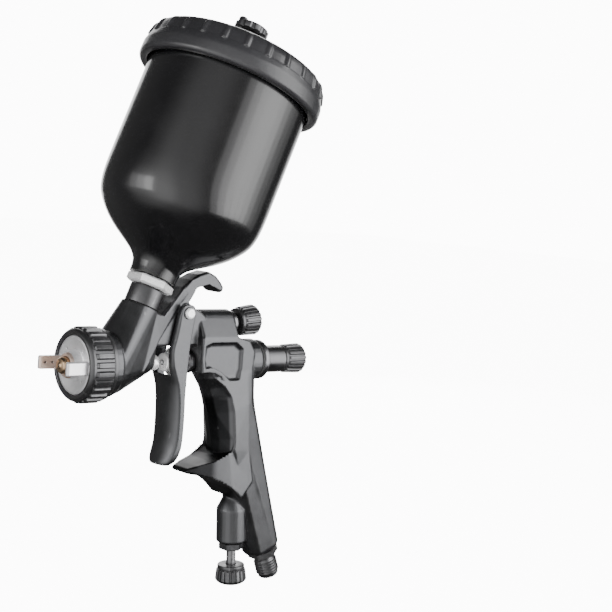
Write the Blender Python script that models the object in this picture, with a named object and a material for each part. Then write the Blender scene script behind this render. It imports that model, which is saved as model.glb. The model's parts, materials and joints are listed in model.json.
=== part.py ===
"""Gravity-feed HVLP spray gun, modelled as separate pieces at real size.

Frame: the nozzle axis meets the cup axis at the origin.  Spray leaves toward -X, +Z is up,
and -Y is the left side of the gun.  Lengths below are millimetres and are scaled to metres
when a mesh is made.
"""
import math

import bmesh
import bpy
from mathutils import Vector

MM = 0.001
GAP = 0.3
SEAM_WELD = 0.000002

# Axes.
X_AXIS = Vector((1.0, 0.0, 0.0))
Y_AXIS = Vector((0.0, 1.0, 0.0))
CUP_TILT = math.radians(22.0)
CUP_AXIS = Vector((math.sin(CUP_TILT), 0.0, math.cos(CUP_TILT)))
FAN_START = Vector((70.3, 0.0, 20.6))
FAN_TILT = math.radians(5.5)
FAN_AXIS = Vector((math.cos(FAN_TILT), 0.0, math.sin(FAN_TILT)))
INLET_START = Vector((107.2, 0.0, -108.5))
INLET_TILT = math.radians(21.8)
INLET_AXIS = Vector((math.sin(INLET_TILT), 0.0, -math.cos(INLET_TILT)))
GRIP_UP = -INLET_AXIS
GRIP_BACK = Vector((math.cos(INLET_TILT), 0.0, math.sin(INLET_TILT)))
REG_START = Vector((84.3, 0.0, -102.3))
REG_TILT = math.radians(4.0)
REG_AXIS = Vector((math.sin(REG_TILT), 0.0, -math.cos(REG_TILT)))
PIVOT = Vector((35.5, 0.0, 27.1))
ZERO = Vector((0.0, 0.0, 0.0))

# Head and air cap, stations along X.
BARREL_R = 15.9
BARREL_FRONT = -22.3
COLLAR_R = 17.0
COLLAR_FRONT = -11.3
COLLAR_REAR = -7.0
RING_FRONT = -27.5
RING_REAR = -11.6
RING_RIM_R = 18.5
RING_RIB_R = 19.5
RING_BORE_R = 16.2
RING_MOUTH_R = 15.2
RING_RIBS = 18
CAP_FACE_R = 14.9
HORN_TIP = -39.0
HORN_HALF_HEIGHT = 3.4
NOZZLE_TIP = -35.4
NOZZLE_NOSE_R = 4.2
NOZZLE_THREAD_R = 4.0
ORIFICE_R = 0.7
NEEDLE_R = 1.1

# Neck and cup, stations along the cup axis.
NECK_TOP = 32.0
NECK_R = 10.3
SLEEVE_R = 9.2
SLEEVE_TOP = 42.2
NUT_BOTTOM = 42.5
NUT_TOP = 47.5
NUT_CORNER_R = 12.6
SPIGOT_R = 6.2
CUP_R = 44.5
CUP_WALL = 1.8
CUP_RIM = 162.5
LID_BOTTOM = 156.0
LID_R = 50.5
LID_TOP = 176.0
LID_CROWN = 183.0
LID_TICKS = 16

# Trigger.
ARM_OUT = 11.0
ARM_IN = 9.2
NOTCH_HALF = 8.0
NOTCH_FLOOR = -6.0
PIN_R = 2.5

# Rear body, stations along X.
BODY_HALF = 12.0
WAIST_FRONT = 45.3
CHAMBER_FRONT = 58.0
CHAMBER_REAR = 74.0
BODY_REAR = 89.0
STEM_R = 2.5

COLOURS = {
    "satin_black_casting": ((0.028, 0.028, 0.030), 0.42, 0.0),
    "gloss_black_cup": ((0.010, 0.010, 0.011), 0.12, 0.0),
    "black_lid_plastic": ((0.018, 0.018, 0.019), 0.40, 0.0),
    "black_knob": ((0.022, 0.022, 0.024), 0.45, 0.0),
    "black_trigger": ((0.030, 0.030, 0.032), 0.40, 0.0),
    "brushed_cap_metal": ((0.62, 0.62, 0.63), 0.30, 1.0),
    "bright_chrome": ((0.82, 0.82, 0.84), 0.12, 1.0),
    "nozzle_brass": ((0.62, 0.45, 0.27), 0.28, 1.0),
    "dark_steel": ((0.18, 0.18, 0.19), 0.38, 1.0),
    "stainless": ((0.56, 0.57, 0.58), 0.25, 1.0),
    "spring_steel": ((0.42, 0.42, 0.44), 0.32, 1.0),
    "white_seal": ((0.80, 0.80, 0.78), 0.50, 0.0),
    "black_rubber": ((0.015, 0.015, 0.015), 0.75, 0.0),
    "filter_nylon": ((0.70, 0.71, 0.69), 0.55, 0.0),
}


def clear_scene():
    for obj in list(bpy.data.objects):
        bpy.data.objects.remove(obj, do_unlink=True)


def make_material(node_name, finish):
    colour, roughness, metallic = COLOURS[finish]
    mat = bpy.data.materials.new(node_name + "_" + finish)
    mat.use_nodes = True
    shader = mat.node_tree.nodes["Principled BSDF"]
    shader.inputs["Base Color"].default_value = (*colour, 1.0)
    shader.inputs["Roughness"].default_value = roughness
    shader.inputs["Metallic"].default_value = metallic
    mat.diffuse_color = (*colour, 1.0)
    return mat


def mesh_object(name, bm, origin, axis=None):
    """Link the bmesh (local millimetres) as an object placed by location and rotation."""
    bmesh.ops.remove_doubles(bm, verts=bm.verts, dist=1e-4)
    bmesh.ops.recalc_face_normals(bm, faces=bm.faces)
    bmesh.ops.scale(bm, vec=(MM, MM, MM), verts=bm.verts)
    mesh = bpy.data.meshes.new(name)
    bm.to_mesh(mesh)
    bm.free()
    obj = bpy.data.objects.new(name, mesh)
    bpy.context.scene.collection.objects.link(obj)
    obj.location = origin * MM
    if axis is not None:
        obj.rotation_mode = "QUATERNION"
        obj.rotation_quaternion = axis.to_track_quat("Z", "Y")
    return obj


def simplify(obj, flat_deg=1.2):
    """Merge nearly coplanar faces left by booleans, then triangulate."""
    bm = bmesh.new()
    bm.from_mesh(obj.data)
    bmesh.ops.dissolve_limit(bm, angle_limit=math.radians(flat_deg), verts=bm.verts,
                             edges=bm.edges)
    bmesh.ops.triangulate(bm, faces=bm.faces)
    bm.to_mesh(obj.data)
    bm.free()
    return obj


def finish_piece(obj, finish, sharp_deg=32.0):
    """Give the piece its own material and smooth faces with crisp edges."""
    obj.data.materials.clear()
    obj.data.materials.append(make_material(obj.name, finish))
    for poly in obj.data.polygons:
        poly.use_smooth = True
        poly.material_index = 0
    obj.data.set_sharp_from_angle(angle=math.radians(sharp_deg))
    return obj


def revolve(name, profile, origin=ZERO, axis=X_AXIS, seg=32, closed=False):
    """Turn (radius, station[, rib height]) points round an axis.

    An open profile starts and ends on the axis.  A closed one is a ring.  A rib height
    raises every second pair of columns, which makes straight grip ribs.
    """
    bm = bmesh.new()
    rings = []
    for point in profile:
        radius, station = point[0], point[1]
        rib = point[2] if len(point) > 2 else 0.0
        if radius < 1e-6:
            rings.append([bm.verts.new((0.0, 0.0, station))])
            continue
        ring = []
        for k in range(seg):
            angle = 2.0 * math.pi * k / seg
            reach = radius + (rib if k % 4 in (1, 2) else 0.0)
            ring.append(bm.verts.new((reach * math.cos(angle), reach * math.sin(angle), station)))
        rings.append(ring)
    pairs = list(zip(rings, rings[1:]))
    if closed:
        pairs.append((rings[-1], rings[0]))
    for low, high in pairs:
        for k in range(seg):
            n = (k + 1) % seg
            if len(low) == 1 and len(high) > 1:
                bm.faces.new((low[0], high[k], high[n]))
            elif len(high) == 1 and len(low) > 1:
                bm.faces.new((low[k], low[n], high[0]))
            elif len(low) > 1:
                bm.faces.new((low[k], low[n], high[n], high[k]))
    return mesh_object(name, bm, origin, axis)


def tube(inner, outer, start, end, chamfer=0.0):
    """Closed ring profile with an optional outer chamfer."""
    if chamfer <= 0.0:
        return [(inner, start), (outer, start), (outer, end), (inner, end)]
    return [
        (inner, start),
        (outer - chamfer, start),
        (outer, start + chamfer),
        (outer, end - chamfer),
        (outer - chamfer, end),
        (inner, end),
    ]


def rod(radius, start, end, chamfer=0.0):
    """Open solid profile with optional end chamfers."""
    if chamfer <= 0.0:
        return [(0.0, start), (radius, start), (radius, end), (0.0, end)]
    return [
        (0.0, start),
        (radius - chamfer, start),
        (radius, start + chamfer),
        (radius, end - chamfer),
        (radius - chamfer, end),
        (0.0, end),
    ]


def bar(name, start, end, radius, seg=16):
    """Plain round bar between two points."""
    axis = end - start
    return revolve(name, rod(radius, 0.0, axis.length), start, axis.normalized(), seg)


def prism(name, outline, y_low, y_high, round_off=0.0, origin=ZERO, steps=2):
    """Extrude an (x, z) outline across Y and round its edges."""
    bm = bmesh.new()
    near = [bm.verts.new((x - origin.x, y_low - origin.y, z - origin.z)) for x, z in outline]
    far = [bm.verts.new((x - origin.x, y_high - origin.y, z - origin.z)) for x, z in outline]
    bm.faces.new(near)
    bm.faces.new(list(reversed(far)))
    count = len(outline)
    for k in range(count):
        n = (k + 1) % count
        bm.faces.new((near[k], far[k], far[n], near[n]))
    if round_off > 0.0:
        caps = [e for e in bm.edges if (e.verts[0].co.y - e.verts[1].co.y) == 0.0]
        bmesh.ops.bevel(bm, geom=caps, offset=round_off, segments=steps, profile=0.5,
                        affect="EDGES", clamp_overlap=True)
    return mesh_object(name, bm, origin)


def loft(name, loops, origin=ZERO):
    """Skin a list of equal-length closed loops and cap both ends."""
    bm = bmesh.new()
    rows = [[bm.verts.new(p - origin) for p in loop] for loop in loops]
    count = len(rows[0])
    for low, high in zip(rows, rows[1:]):
        for k in range(count):
            n = (k + 1) % count
            bm.faces.new((low[k], low[n], high[n], high[k]))
    bm.faces.new(rows[0])
    bm.faces.new(list(reversed(rows[-1])))
    return mesh_object(name, bm, origin)


def hull(name, points):
    """Convex skin round a cloud of points."""
    bm = bmesh.new()
    for point in points:
        bm.verts.new(point)
    result = bmesh.ops.convex_hull(bm, input=bm.verts)
    loose = [g for g in result["geom_interior"] if isinstance(g, bmesh.types.BMVert)]
    bmesh.ops.delete(bm, geom=loose, context="VERTS")
    return mesh_object(name, bm, ZERO)


def circle(centre, axis, radius, seg):
    """Points of a circle in space."""
    side = axis.cross(Y_AXIS).normalized()
    turn = axis.cross(side).normalized()
    points = []
    for k in range(seg):
        angle = 2.0 * math.pi * k / seg
        points.append(centre + side * (radius * math.cos(angle)) + turn * (radius * math.sin(angle)))
    return points


def combine(target, others, operation):
    """Run exact booleans one by one, weld the seams and remove the helper objects."""
    for other in others:
        other.hide_render = True
        other.display_type = "WIRE"
        modifier = target.modifiers.new("join", "BOOLEAN")
        modifier.operation = operation
        modifier.solver = "EXACT"
        modifier.object = other
        bpy.context.view_layer.update()
        graph = bpy.context.evaluated_depsgraph_get()
        result = bpy.data.meshes.new_from_object(target.evaluated_get(graph))
        target.modifiers.clear()
        seam = bmesh.new()
        seam.from_mesh(result)
        bmesh.ops.remove_doubles(seam, verts=seam.verts, dist=SEAM_WELD)
        bmesh.ops.dissolve_degenerate(seam, edges=seam.edges, dist=SEAM_WELD)
        seam.to_mesh(result)
        seam.free()
        target.data = result
        bpy.data.objects.remove(other, do_unlink=True)
    return target


def cut(target, others):
    return combine(target, others, "DIFFERENCE")


def join(target, others):
    return combine(target, others, "UNION")


def grip_point(up, back, side):
    """Point in the handle frame: distance up the handle, rearward, and across."""
    return INLET_START + GRIP_UP * up + GRIP_BACK * back + Y_AXIS * side


# ---------------------------------------------------------------- gun body


def head_solid():
    """Cast head: a convex skin from the air cap collar to the neck and the packing boss."""
    cloud = circle(X_AXIS * COLLAR_REAR, X_AXIS, COLLAR_R - 0.6, 32)
    cloud += circle(X_AXIS * (COLLAR_REAR + 4.0), X_AXIS, 15.2, 32)
    cloud += circle(CUP_AXIS * NECK_TOP, CUP_AXIS, NECK_R, 28)
    cloud += circle(Vector((19.4, 0.0, 0.6)), X_AXIS, 5.2, 16)
    return hull("gun_body", cloud)


def barrel_solid():
    profile = [
        (0.0, BARREL_FRONT),
        (BARREL_R - 0.8, BARREL_FRONT),
        (BARREL_R, BARREL_FRONT + 0.8),
        (BARREL_R, COLLAR_FRONT),
        (COLLAR_R, COLLAR_FRONT),
        (COLLAR_R, COLLAR_REAR - 0.6),
        (COLLAR_R - 0.6, COLLAR_REAR + 0.05),
        (0.0, COLLAR_REAR + 0.05),
    ]
    return revolve("barrel", profile, seg=32)


def hook_solid():
    outline = [
        (15.0, 20.0), (21.6, 26.5), (26.7, 31.5), (30.6, 36.0), (34.3, 40.2), (39.4, 44.2),
        (44.4, 47.0), (50.9, 48.8), (55.9, 46.6), (59.3, 43.4), (61.4, 40.5), (60.9, 38.2),
        (59.2, 37.4), (57.2, 38.0), (55.4, 40.0), (53.6, 42.2), (51.0, 43.4), (47.5, 42.6),
        (43.2, 39.8), (39.9, 37.2), (37.6, 33.6), (36.4, 28.5), (30.0, 20.0),
    ]
    return prism("hook", outline, -6.5, 6.5, 1.6)


def cheek_solid():
    """Flat cheeks of the head, with the crisp rear edge that runs up into the hook."""
    outline = [
        (10.5, -3.4), (13.0, 1.0), (16.1, 7.1), (19.4, 13.1), (23.7, 19.6), (27.6, 24.9),
        (30.8, 30.0), (35.0, 34.8), (37.4, 37.4), (34.3, 40.0), (26.7, 31.3), (21.4, 25.4),
        (15.0, 27.2), (7.0, 27.0), (2.0, 16.0), (0.0, 4.0), (3.0, -6.0),
    ]
    obj = simplify(prism("cheek", outline, -9.4, 9.4, 0.5), 0.1)
    for vert in obj.data.vertices:
        reach = min(max((vert.co.x / MM - 16.0) / 18.0, 0.0), 1.0)
        vert.co.y *= 1.0 - 0.28 * reach
    return obj


def bridge_solid():
    outline = [
        (8.0, 9.4), (48.0, 9.4), (50.0, 12.0), (50.0, 25.0), (46.5, 27.4), (42.0, 28.6),
        (37.6, 33.0), (30.0, 32.0), (21.0, 24.0), (8.0, 20.0),
    ]
    return prism("bridge", outline, -7.0, 7.0, 1.0)


def rear_solid():
    """Fan valve boss on top of a block with near-flat sides."""
    cloud = []
    for x, radius in ((45.6, 6.6), (46.6, 7.4), (69.0, 7.4), (70.0, 6.8)):
        cloud += circle(Vector((x, 0.0, 20.8)), X_AXIS, radius, 22)
    for x, half in ((45.7, 10.8), (46.9, 11.8), (69.4, 11.8), (70.2, 11.0)):
        for y in (-half, half):
            cloud.append(Vector((x, y, 14.0)))
            cloud.append(Vector((x, y, 9.0)))
            cloud.append(Vector((x, y * 0.8, 2.0)))
    return hull("rear", cloud)


def waist_solid():
    """Full-width block between the boss and the grip; its front face stops the trigger."""
    outline = [
        (WAIST_FRONT, 14.0), (WAIST_FRONT + 0.2, 2.0), (WAIST_FRONT + 0.8, -5.6), (54.6, -4.4),
        (59.5, -6.6), (64.0, -12.0), (80.0, -14.0), (82.0, 6.0), (78.0, 12.0), (70.0, 14.0),
    ]
    return prism("waist", outline, -BODY_HALF, BODY_HALF, 1.0)


def handle_loop(up, front, front_edge, rear_edge, back, half):
    """Closed section: a front swell between two creases, flat sides and a rounded back."""
    loop = []
    for k in range(9):
        angle = math.pi * k / 8.0
        bulge = (front - front_edge) * math.sin(angle) ** 3
        loop.append(grip_point(up, front_edge + bulge, -half * math.cos(angle)))
    for k in range(13):
        angle = math.pi * k / 12.0
        bulge = (back - rear_edge) * math.sin(angle)
        loop.append(grip_point(up, rear_edge + bulge, half * math.cos(angle)))
    return loop


def handle_solid():
    """Sections: up, front centre, front crease, rear crease, back centre, half width."""
    sections = [
        (0.6, -11.2, -7.6, 2.0, 8.6, 8.4),
        (2.4, -12.0, -8.2, 2.3, 9.8, 9.0),
        (17.0, -13.4, -8.4, 2.6, 10.6, 9.8),
        (32.0, -15.0, -8.8, 2.6, 11.0, 10.8),
        (51.0, -16.6, -10.0, 1.8, 11.2, 12.4),
        (62.0, -17.4, -11.4, 1.6, 11.6, 13.6),
        (70.0, -16.6, -11.6, 1.8, 12.2, 14.2),
        (76.0, -15.2, -9.4, 2.4, 12.8, 14.4),
        (82.4, -14.4, -7.6, 3.0, 13.6, 14.4),
        (91.0, -13.4, -5.4, 4.8, 15.2, 14.2),
        (99.4, -13.0, -4.6, 7.4, 18.4, 13.4),
        (106.0, -13.0, -6.4, 10.0, 22.4, 12.6),
        (112.0, -14.0, -10.0, 12.0, 25.0, 11.0),
        (118.0, -12.0, -9.0, 12.0, 24.0, 7.0),
    ]
    return loft("handle", [handle_loop(*s) for s in sections])


def finger_rest_solid():
    outline = [
        (80.0, -40.0), (73.6, -41.6), (71.4, -46.2), (68.6, -49.4), (64.6, -51.8), (58.9, -53.6),
        (50.0, -55.8),
        (45.2, -57.2), (43.9, -58.6), (45.0, -60.0), (50.0, -60.8), (58.0, -61.6), (65.0, -64.4),
        (71.0, -69.0), (78.0, -76.0), (86.0, -66.0),
    ]
    obj = simplify(prism("rest", outline, -13.9, 13.9, 1.6), 0.1)
    for vert in obj.data.vertices:
        reach = min(max((73.0 - vert.co.x / MM) / 29.0, 0.0), 1.0)
        vert.co.y *= 1.0 - 0.5 * reach ** 1.3
    return obj


def tail_solid():
    """Round rear end that carries the needle housing."""
    profile = [(0.0, 60.0), (11.7, 60.0), (11.7, BODY_REAR - 1.0), (10.8, BODY_REAR), (0.0, BODY_REAR)]
    return revolve("tail", profile, seg=28)


def regulator_boss_solid():
    profile = [(0.0, -26.0), (5.0, -26.0), (8.6, -19.0), (8.6, -0.8), (7.9, 0.0), (0.0, 0.0)]
    return revolve("boss", profile, REG_START, REG_AXIS, 24)


def thumb_pocket(side):
    """Pocket in the side of the waist, with a narrow rim in front and below."""
    outline = [
        (47.4, 9.6), (47.6, 2.0), (48.2, -2.8), (54.0, -1.8), (60.0, -4.6), (65.0, -9.4),
        (71.2, -9.1), (73.1, -3.0), (73.1, 7.7), (68.3, 11.3), (52.0, 11.3),
    ]
    low, high = sorted((side * 10.1, side * 18.0))
    return simplify(prism("pocket", outline, low, high, 2.3, steps=3), 0.1)


def body_bores():
    """Every drilling and chamber in the casting."""
    tools = [thumb_pocket(1.0), thumb_pocket(-1.0)]
    tools.append(revolve("b1", rod(NOZZLE_THREAD_R + GAP, BARREL_FRONT - 2, -6.0), seg=16))
    tools.append(revolve("b2", rod(2.6, -8.0, 10.0), seg=16))
    tools.append(revolve("b3", rod(3.5, 8.5, 24.0), seg=16))
    tools.append(revolve("b4", tube(8.0, 13.0, BARREL_FRONT - 2, -14.0), seg=24, closed=True))
    tools.append(revolve("b5", rod(8.2, BARREL_FRONT - 1, -18.7), seg=24))
    tools.append(revolve("b6", rod(3.2, 0.0, 26.0), ZERO, CUP_AXIS, 16))
    tools.append(revolve("b7", rod(7.3, 24.0, 36.0), ZERO, CUP_AXIS, 24))
    tools.append(revolve("b8", rod(PIN_R + 0.2, -15.0, 15.0), PIVOT, Y_AXIS, 16))
    tools.append(revolve("b9", rod(4.6, 40.0, 60.0), seg=16))
    tools.append(revolve("b10", rod(8.0, CHAMBER_FRONT, CHAMBER_REAR + 2), seg=24))
    tools.append(revolve("b11", rod(9.0, CHAMBER_REAR, BODY_REAR + 3), seg=24))
    tools.append(revolve("b12", rod(4.5, -21.0, 4.0), FAN_START, FAN_AXIS, 16))
    tools.append(bar("b13", INLET_START, INLET_START + GRIP_UP * 112.0, 3.0, 12))
    tools.append(revolve("b14", rod(6.0, -12.0, 4.0), INLET_START, INLET_AXIS, 16))
    tools.append(revolve("b15", rod(4.9, -18.0, 4.0), REG_START, REG_AXIS, 16))
    tools.append(bar("b16", Vector((83.2, 0.0, -88.0)), Vector((99.0, 0.0, -90.0)), 2.4, 12))
    tools.append(bar("b17", Vector((61.0, 0.0, 5.0)), Vector((57.0, 0.0, 17.6)), 1.8, 10))
    tools.append(bar("b18", Vector((-15.5, 6.6, 8.6)), Vector((52.0, 3.2, 18.8)), 1.4, 8))
    return tools


def build_body():
    body = head_solid()
    solids = [
        barrel_solid(),
        cheek_solid(),
        hook_solid(),
        bridge_solid(),
        revolve("pivot_boss", rod(4.6, -7.7, 7.7, 0.4), PIVOT, Y_AXIS, 28),
        rear_solid(),
        waist_solid(),
        tail_solid(),
        handle_solid(),
        finger_rest_solid(),
        regulator_boss_solid(),
    ]
    join(body, solids)
    cut(body, body_bores())
    simplify(body, 5.0)
    finish_piece(body, "satin_black_casting", 30.0)


# ---------------------------------------------------------------- spray head


def build_air_cap_ring():
    profile = [
        (RING_MOUTH_R + 0.4, RING_FRONT),
        (RING_RIM_R - 1.4, RING_FRONT),
        (RING_RIM_R, RING_FRONT + 1.4),
        (RING_RIM_R - 0.2, RING_FRONT + 3.2, 0.2),
        (RING_RIM_R - 0.2, RING_FRONT + 3.8, RING_RIB_R - RING_RIM_R + 0.2),
        (RING_RIM_R - 0.2, RING_REAR - 2.8, RING_RIB_R - RING_RIM_R + 0.2),
        (RING_RIM_R - 0.2, RING_REAR - 2.2, 0.2),
        (RING_RIM_R, RING_REAR - 1.9),
        (RING_RIM_R, RING_REAR),
        (RING_BORE_R, RING_REAR),
        (RING_BORE_R, RING_FRONT + 2.0),
        (RING_MOUTH_R, RING_FRONT + 2.0),
    ]
    ring = revolve("air_cap_ring", profile, seg=4 * RING_RIBS, closed=True)
    finish_piece(ring, "black_knob")


def horn_solid(side):
    """One air horn; side is +1 for the right and -1 for the left."""
    across = [
        (-24.6, 9.6), (-28.4, 10.4), (-33.0, 11.0), (HORN_TIP + 0.8, 11.6), (HORN_TIP, 12.3),
        (HORN_TIP, 13.6), (HORN_TIP + 0.9, 14.3), (-24.6, 14.3),
    ]
    h = HORN_HALF_HEIGHT
    loops = []
    for height, inset in ((-h, 0.5), (-h + 0.5, 0.0), (h - 0.5, 0.0), (h, 0.5)):
        loop = []
        for x, y in across:
            nearer = max(x, HORN_TIP + inset)
            loop.append(Vector((nearer, side * min(max(y, 9.6 + inset), 14.3 - inset), height)))
        loops.append(loop)
    return loft("horn", loops)


def build_air_cap():
    profile = [
        (NOZZLE_NOSE_R + 0.4, -24.2),
        (NOZZLE_NOSE_R + 0.4, -31.4),
        (5.9, -31.6),
        (6.3, -31.0),
        (8.0, -25.8),
        (13.8, -26.9),
        (CAP_FACE_R, -26.6),
        (CAP_FACE_R, -25.2),
        (15.9, -25.2),
        (15.9, -23.8),
        (9.2, -23.8),
        (8.8, -24.0),
    ]
    cap = revolve("air_cap", profile, seg=36, closed=True)
    join(cap, [horn_solid(1.0), horn_solid(-1.0)])
    drills = []
    for side in (1.0, -1.0):
        passage_end = Vector((HORN_TIP + 2.4, side * 13.1, 0.0))
        drills.append(bar("d", Vector((-22.0, side * 12.4, 0.0)), passage_end, 0.7, 8))
        for station in (-35.6, -31.6):
            outer = Vector((station, side * 12.9, 0.0))
            drills.append(bar("d", outer, outer + Vector((-1.2, -side * 4.0, 0.0)), 0.55, 8))
    for angle_deg in (45.0, 135.0, 225.0, 315.0):
        angle = math.radians(angle_deg)
        y = 10.6 * math.cos(angle)
        z = 10.6 * math.sin(angle)
        drills.append(bar("d", Vector((-22.0, y, z)), Vector((-28.0, y, z)), 0.5, 8))
    cut(cap, drills)
    simplify(cap, 4.0)
    finish_piece(cap, "brushed_cap_metal")


def build_spray_internals():
    slip = revolve("air_cap_slip_ring", tube(13.4, 15.7, -23.5, -22.6), seg=32, closed=True)
    finish_piece(slip, "white_seal")
    nozzle_profile = [
        (ORIFICE_R, NOZZLE_TIP),
        (1.3, NOZZLE_TIP),
        (1.7, NOZZLE_TIP + 0.5),
        (3.5, NOZZLE_TIP + 0.8),
        (NOZZLE_NOSE_R, NOZZLE_TIP + 1.7),
        (NOZZLE_NOSE_R, -23.8),
        (6.4, -22.6),
        (7.0, -21.8),
        (7.0, -19.4),
        (6.6, -19.0),
        (NOZZLE_THREAD_R, -19.0),
        (NOZZLE_THREAD_R, -9.0),
        (NOZZLE_THREAD_R - 0.5, -8.4),
        (1.7, -8.4),
        (1.5, NOZZLE_TIP + 4.2),
        (ORIFICE_R, NOZZLE_TIP + 1.0),
    ]
    nozzle = revolve("fluid_nozzle", nozzle_profile, seg=18, closed=True)
    finish_piece(nozzle, "nozzle_brass")
    baffle = revolve("air_baffle", tube(8.3, 12.7, -20.2, -18.2), seg=24, closed=True)
    drills = []
    for k in range(6):
        angle = math.radians(60.0 * k)
        y = 10.5 * math.cos(angle)
        z = 10.5 * math.sin(angle)
        drills.append(bar("d", Vector((-22.0, y, z)), Vector((-16.0, y, z)), 1.2, 8))
    simplify(cut(baffle, drills), 4.0)
    finish_piece(baffle, "stainless")
    packing = revolve("needle_packing", tube(1.35, 3.2, 9.0, 13.0), seg=16, closed=True)
    finish_piece(packing, "white_seal")
    nut_profile = [
        (1.4, 13.3), (3.2, 13.3), (3.2, 19.9), (3.6, 20.1), (4.1, 20.6), (4.1, 23.2),
        (3.6, 23.8), (1.4, 23.8),
    ]
    nut = revolve("packing_nut", nut_profile, seg=20, closed=True)
    finish_piece(nut, "bright_chrome")


def build_needle():
    needle_profile = [
        (0.0, NOZZLE_TIP + 0.2), (0.3, NOZZLE_TIP + 0.2), (NEEDLE_R, NOZZLE_TIP + 3.6),
        (NEEDLE_R, 81.0), (1.4, 81.0),
        (1.4, 91.0), (1.0, 91.6), (0.0, 91.6),
    ]
    needle = revolve("fluid_needle", needle_profile, seg=20)
    finish_piece(needle, "stainless")
    collar = revolve("needle_collar", tube(1.7, 4.3, 81.0, 84.6), seg=20, closed=True)
    finish_piece(collar, "stainless")


def coil(name, start, end, mean_r, wire_r, turns, origin=X_AXIS * 0.0, axis=X_AXIS):
    """Compression spring with its wire ends closed flat."""
    per_turn = 10
    sides = 5
    steps = int(turns * per_turn)
    low = start + wire_r
    rise = (end - start - 2.0 * wire_r) / steps
    bm = bmesh.new()
    rows = []
    for k in range(steps + 1):
        angle = 2.0 * math.pi * k / per_turn
        outward = Vector((math.cos(angle), math.sin(angle), 0.0))
        centre = outward * mean_r + Vector((0.0, 0.0, low + rise * k))
        row = []
        for s in range(sides):
            tip = 2.0 * math.pi * s / sides
            row.append(bm.verts.new(centre + outward * (wire_r * math.cos(tip))
                                    + Vector((0.0, 0.0, wire_r * math.sin(tip)))))
        rows.append(row)
    for a, b in zip(rows, rows[1:]):
        for s in range(sides):
            n = (s + 1) % sides
            bm.faces.new((a[s], a[n], b[n], b[s]))
    bm.faces.new(rows[0])
    bm.faces.new(list(reversed(rows[-1])))
    return finish_piece(mesh_object(name, bm, origin, axis), "spring_steel", 50.0)


# ---------------------------------------------------------------- trigger and air valve


def trigger_loop(z, rear, corner, front, half):
    """C-shaped section, open to the rear."""
    wall = ARM_OUT - ARM_IN
    outer = [Vector((rear, -half, z))]
    inner = [Vector((rear, -half + wall, z))]
    for k in range(9):
        angle = math.pi * k / 8.0
        bulge = (front - corner) * math.sin(angle)
        outer.append(Vector((corner + bulge, -half * math.cos(angle), z)))
        inner.append(Vector((corner + 1.6 + bulge, -(half - wall) * math.cos(angle), z)))
    outer.append(Vector((rear, half, z)))
    inner.append(Vector((rear, half - wall, z)))
    return outer + list(reversed(inner))


def build_trigger():
    """Sections: height, rear edge, front corner, front centre, half width."""
    sections = [
        (31.4, 37.6, 33.6, 33.0, ARM_OUT),
        (30.2, 39.2, 31.9, 31.0, ARM_OUT),
        (27.0, 39.9, 31.2, 29.5, ARM_OUT),
        (21.0, 39.2, 30.6, 28.0, ARM_OUT),
        (14.0, 38.2, 29.4, 26.5, ARM_OUT),
        (7.0, 37.5, 27.8, 25.0, ARM_OUT),
        (0.0, 37.2, 28.6, 25.6, ARM_OUT),
        (-5.3, 37.0, 30.5, 27.0, ARM_OUT),
        (-12.0, 36.9, 33.0, 29.2, ARM_OUT),
        (-20.0, 36.9, 34.3, 30.4, ARM_OUT),
        (-32.0, 37.2, 34.8, 30.9, ARM_OUT),
        (-43.0, 36.9, 34.4, 30.4, ARM_OUT - 0.3),
        (-49.0, 35.5, 32.7, 28.8, ARM_OUT - 0.9),
        (-52.6, 33.6, 31.2, 27.6, ARM_OUT - 2.2),
        (-54.4, 31.9, 30.2, 27.4, ARM_OUT - 4.4),
    ]
    trigger = loft("trigger", [trigger_loop(*s) for s in sections], PIVOT)
    slot = prism("slot", [(20.0, NOTCH_FLOOR), (38.0, NOTCH_FLOOR), (38.0, 34.0), (20.0, 34.0)],
                 -NOTCH_HALF, NOTCH_HALF)
    hole = revolve("hole", rod(PIN_R + 0.2, -15.0, 15.0), PIVOT, Y_AXIS, 20)
    simplify(cut(trigger, [slot, hole]), 3.0)
    finish_piece(trigger, "black_trigger", 34.0)


def build_pivot():
    pin_profile = [
        (0.0, -12.9), (2.2, -12.9), (3.0, -12.3), (3.0, -11.3), (PIN_R, -11.3), (PIN_R, 11.2),
        (1.6, 11.2), (1.6, 4.0), (0.0, 4.0),
    ]
    pin = revolve("pivot_pin", pin_profile, PIVOT, Y_AXIS, 20)
    finish_piece(pin, "bright_chrome")
    screw_profile = [
        (0.0, 4.6), (1.3, 4.6), (1.3, 11.5), (3.0, 11.5), (3.0, 12.3), (2.2, 12.9), (0.0, 12.9),
    ]
    screw = revolve("pivot_screw", screw_profile, PIVOT, Y_AXIS, 16)
    drive = prism("drive", [(33.0, 26.7), (38.0, 26.7), (38.0, 27.5), (33.0, 27.5)], 12.2, 14.0)
    cut(screw, [drive])
    finish_piece(screw, "bright_chrome")


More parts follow.
